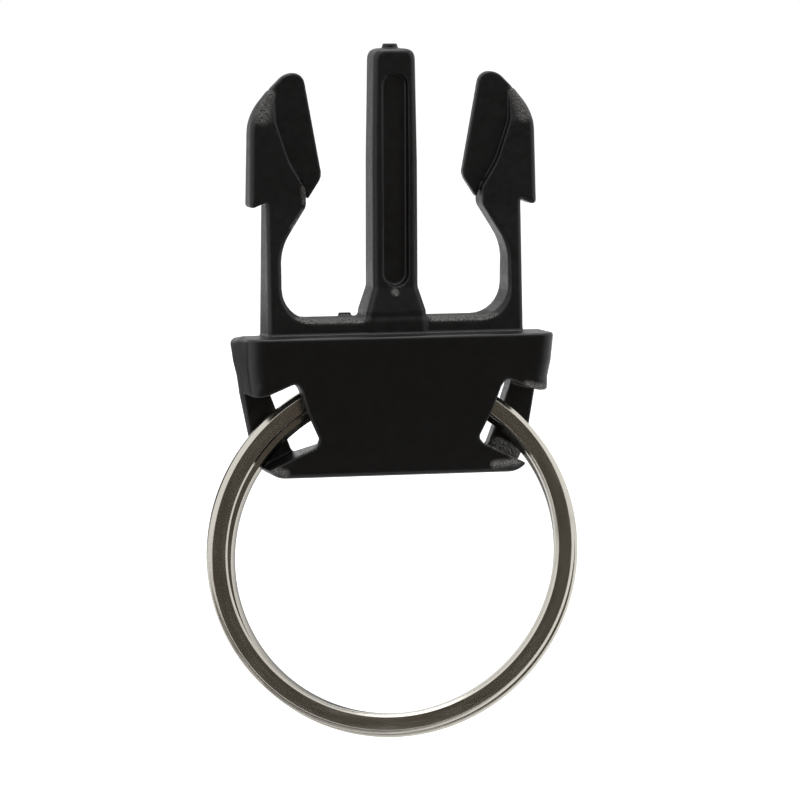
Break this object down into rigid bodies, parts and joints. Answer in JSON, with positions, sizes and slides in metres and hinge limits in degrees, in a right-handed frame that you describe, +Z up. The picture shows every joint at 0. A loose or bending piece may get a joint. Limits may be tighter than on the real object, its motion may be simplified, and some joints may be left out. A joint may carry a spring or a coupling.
{
  "type": "belt key clip",
  "caption": "Moulded side-release latch half with a guide prong between two springy barbed arms, a hooded shoulder and a plate that a split key ring passes behind.",
  "frame": {"origin": "middle of the shoulder plane, where the clip stops against the mouth of the female half", "axes": "+Z up along the guide prong and the latch arms, +X to the right seen from the show face, and the show face looks along -Y"},
  "size_m": [0.0326, 0.0087, 0.0594],
  "materials": {
    "body_plastic": "satin black moulded acetal",
    "arm_plastic": "satin black moulded acetal, stippled on the lead-in ramps",
    "ring_nickel": "bright nickel plate over spring steel"
  },
  "bodies": {
    "buckle": {"hood": "body_plastic", "cover_plate": "body_plastic", "left_rail": "body_plastic", "right_rail": "body_plastic", "end_bar": "body_plastic", "guide_prong": "body_plastic"},
    "left_arm": {"left_latch_arm": "arm_plastic"},
    "right_arm": {"right_latch_arm": "arm_plastic"},
    "ring": {"split_ring": "ring_nickel"}
  },
  "joints": [
    {"name": "left_latch_squeeze", "type": "hinge", "parent": "buckle", "child": "left_arm", "pos_m": [-0.01055, 0, 0.0042], "axis": [0, 1, 0], "range_deg": [0, 13], "stiffness_Nm_per_rad": 0.1},
    {"name": "right_latch_squeeze", "type": "hinge", "parent": "buckle", "child": "right_arm", "pos_m": [0.01055, 0, 0.0042], "axis": [0, -1, 0], "range_deg": [0, 13], "stiffness_Nm_per_rad": 0.1},
    {"name": "ring_swing", "type": "hinge", "parent": "buckle", "child": "ring", "pos_m": [0, -0.0009, -0.0065], "axis": [-1, 0, 0], "range_deg": [0, 100]}
  ]
}
